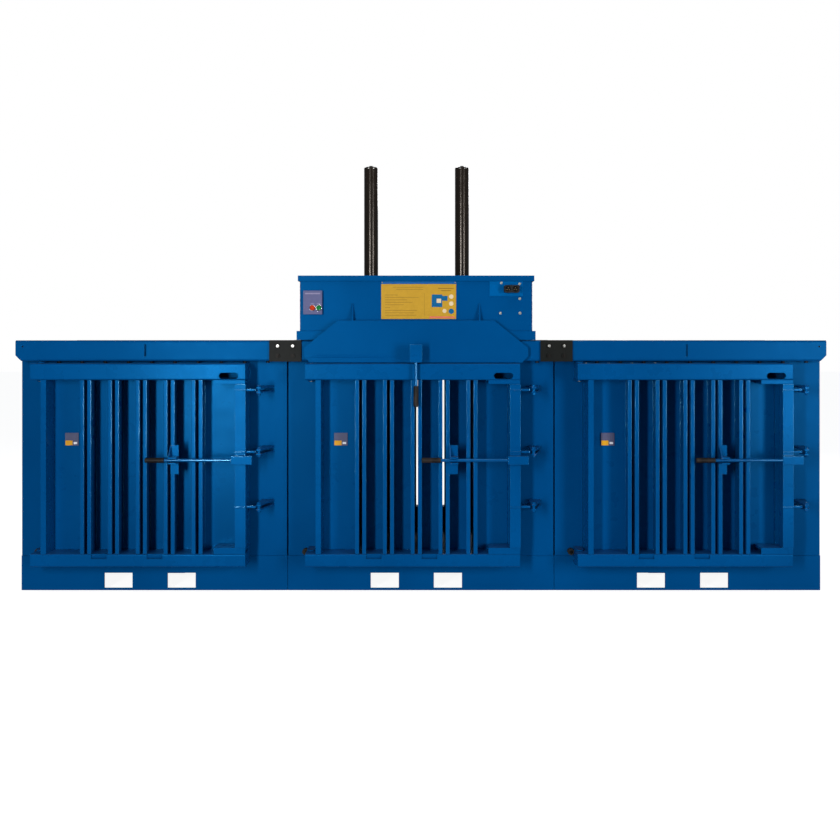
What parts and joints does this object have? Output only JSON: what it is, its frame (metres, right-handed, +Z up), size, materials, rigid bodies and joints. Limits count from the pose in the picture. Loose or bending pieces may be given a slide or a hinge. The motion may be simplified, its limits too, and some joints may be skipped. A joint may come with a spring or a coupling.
{
  "type": "recycling baler",
  "caption": "Side-by-side baling chambers under rails, with a hydraulic press head that rolls over them and slatted doors with claw locks.",
  "frame": {"origin": "on the floor, centred under the middle chamber's base", "axes": "+X to the right along the rails, -Y to the front where the doors are, +Z up"},
  "size_m": [4.552, 1.328, 2.496],
  "materials": {
    "blue_paint": "gloss blue paint on plate",
    "black_paint": "satin black paint",
    "black_gloss": "gloss black paint",
    "grey_paint": "grey paint",
    "black_rubber": "moulded rubber",
    "black_plastic": "moulded plastic",
    "steel": "turned steel",
    "zinc": "zinc-plated",
    "chrome": "hard chrome",
    "grey_panel": "purple-grey enamel",
    "red_button": "gloss red",
    "green_button": "gloss green"
  },
  "bodies": {
    "root": {"door_buffers": "black_rubber", "front_rail": "blue_paint", "rear_rail": "blue_paint", "joint_plates": "black_paint", "rail_bolts": "zinc", "base_left": "blue_paint", "frame_left": "blue_paint", "side_walls_left": "blue_paint", "back_wall_left": "blue_paint", "hinge_pins_left": "steel", "keepers_left": "blue_paint", "base_middle": "blue_paint", "frame_middle": "blue_paint", "side_walls_middle": "blue_paint", "back_wall_middle": "blue_paint", "hinge_pins_middle": "steel", "keepers_middle": "blue_paint", "base_right": "blue_paint", "frame_right": "blue_paint", "side_walls_right": "blue_paint", "back_wall_right": "blue_paint", "hinge_pins_right": "steel", "keepers_right": "blue_paint"},
    "door_left": {"door_frame_left": "blue_paint", "door_slats_left": "blue_paint", "strap_guides_left": "blue_paint", "lever_catch_left": "blue_paint"},
    "lock_left": {"lock_bar_left": "blue_paint", "lock_grip_left": "black_rubber"},
    "door_middle": {"door_frame_middle": "blue_paint", "door_slats_middle": "blue_paint", "strap_guides_middle": "blue_paint", "lever_catch_middle": "blue_paint"},
    "lock_middle": {"lock_bar_middle": "blue_paint", "lock_grip_middle": "black_rubber"},
    "door_right": {"door_frame_right": "blue_paint", "door_slats_right": "blue_paint", "strap_guides_right": "blue_paint", "lever_catch_right": "blue_paint"},
    "lock_right": {"lock_bar_right": "blue_paint", "lock_grip_right": "black_rubber"},
    "head": {"carriage": "blue_paint", "head_housing": "blue_paint", "head_lid": "blue_paint", "apron": "blue_paint", "control_panel": "grey_panel", "service_plate": "blue_paint", "power_inlet": "black_plastic", "cylinder_left": "black_gloss", "cylinder_right": "black_gloss", "power_pack": "grey_paint"},
    "press": {"piston_rods": "chrome", "platen": "blue_paint"},
    "head_lock": {"head_lock_lever": "blue_paint", "head_lock_grip": "black_rubber"},
    "stop_button": {"stop_button": "red_button"},
    "start_button": {"start_button": "green_button"},
    "wheelset_left": {"wheelset_left": "steel"},
    "wheelset_right": {"wheelset_right": "steel"}
  },
  "joints": [
    {"name": "head_travel", "type": "slide", "parent": "root", "child": "head", "axis": [1, 0, 0], "range_m": [-1.518, 1.518]},
    {"name": "press_stroke", "type": "slide", "parent": "head", "child": "press", "axis": [0, 0, -1], "range_m": [0, 0.75]},
    {"name": "wheel_spin_left", "type": "hinge", "parent": "head", "child": "wheelset_left", "pos_m": [-0.587, 0, 1.4743], "axis": [0, 1, 0], "range_deg": [-1800, 1800]},
    {"name": "wheel_spin_right", "type": "hinge", "parent": "head", "child": "wheelset_right", "pos_m": [0.533, 0, 1.4743], "axis": [0, 1, 0], "range_deg": [-1800, 1800]},
    {"name": "door_swing_left", "type": "hinge", "parent": "root", "child": "door_left", "pos_m": [-2.133, -0.57, 0.73], "axis": [0, 0, -1], "range_deg": [0, 110]},
    {"name": "lock_turn_left", "type": "hinge", "parent": "door_left", "child": "lock_left", "pos_m": [-0.997, -0.645, 0.766], "axis": [0, 0, 1], "range_deg": [0, 80]},
    {"name": "door_swing_middle", "type": "hinge", "parent": "root", "child": "door_middle", "pos_m": [-0.615, -0.57, 0.73], "axis": [0, 0, -1], "range_deg": [0, 1.8]},
    {"name": "lock_turn_middle", "type": "hinge", "parent": "door_middle", "child": "lock_middle", "pos_m": [0.521, -0.645, 0.766], "axis": [0, 0, 1], "range_deg": [0, 80]},
    {"name": "door_swing_right", "type": "hinge", "parent": "root", "child": "door_right", "pos_m": [0.891, -0.57, 0.73], "axis": [0, 0, -1], "range_deg": [0, 110]},
    {"name": "lock_turn_right", "type": "hinge", "parent": "door_right", "child": "lock_right", "pos_m": [2.027, -0.645, 0.766], "axis": [0, 0, 1], "range_deg": [0, 80]},
    {"name": "head_lock_turn", "type": "hinge", "parent": "head", "child": "head_lock", "pos_m": [-0.027, -0.706, 1.357], "axis": [0, 1, 0], "range_deg": [0, 90]},
    {"name": "stop_press", "type": "slide", "parent": "head", "child": "stop_button", "axis": [0, 1, 0], "range_m": [0, 0.005], "stiffness_N_per_m": 400},
    {"name": "start_press", "type": "slide", "parent": "head", "child": "start_button", "axis": [0, 1, 0], "range_m": [0, 0.005], "stiffness_N_per_m": 400}
  ],
  "couplings": [
    {"joint": "wheel_spin_left", "follows": "head_travel", "rad_per_m": 20},
    {"joint": "wheel_spin_right", "follows": "head_travel", "rad_per_m": 20}
  ]
}
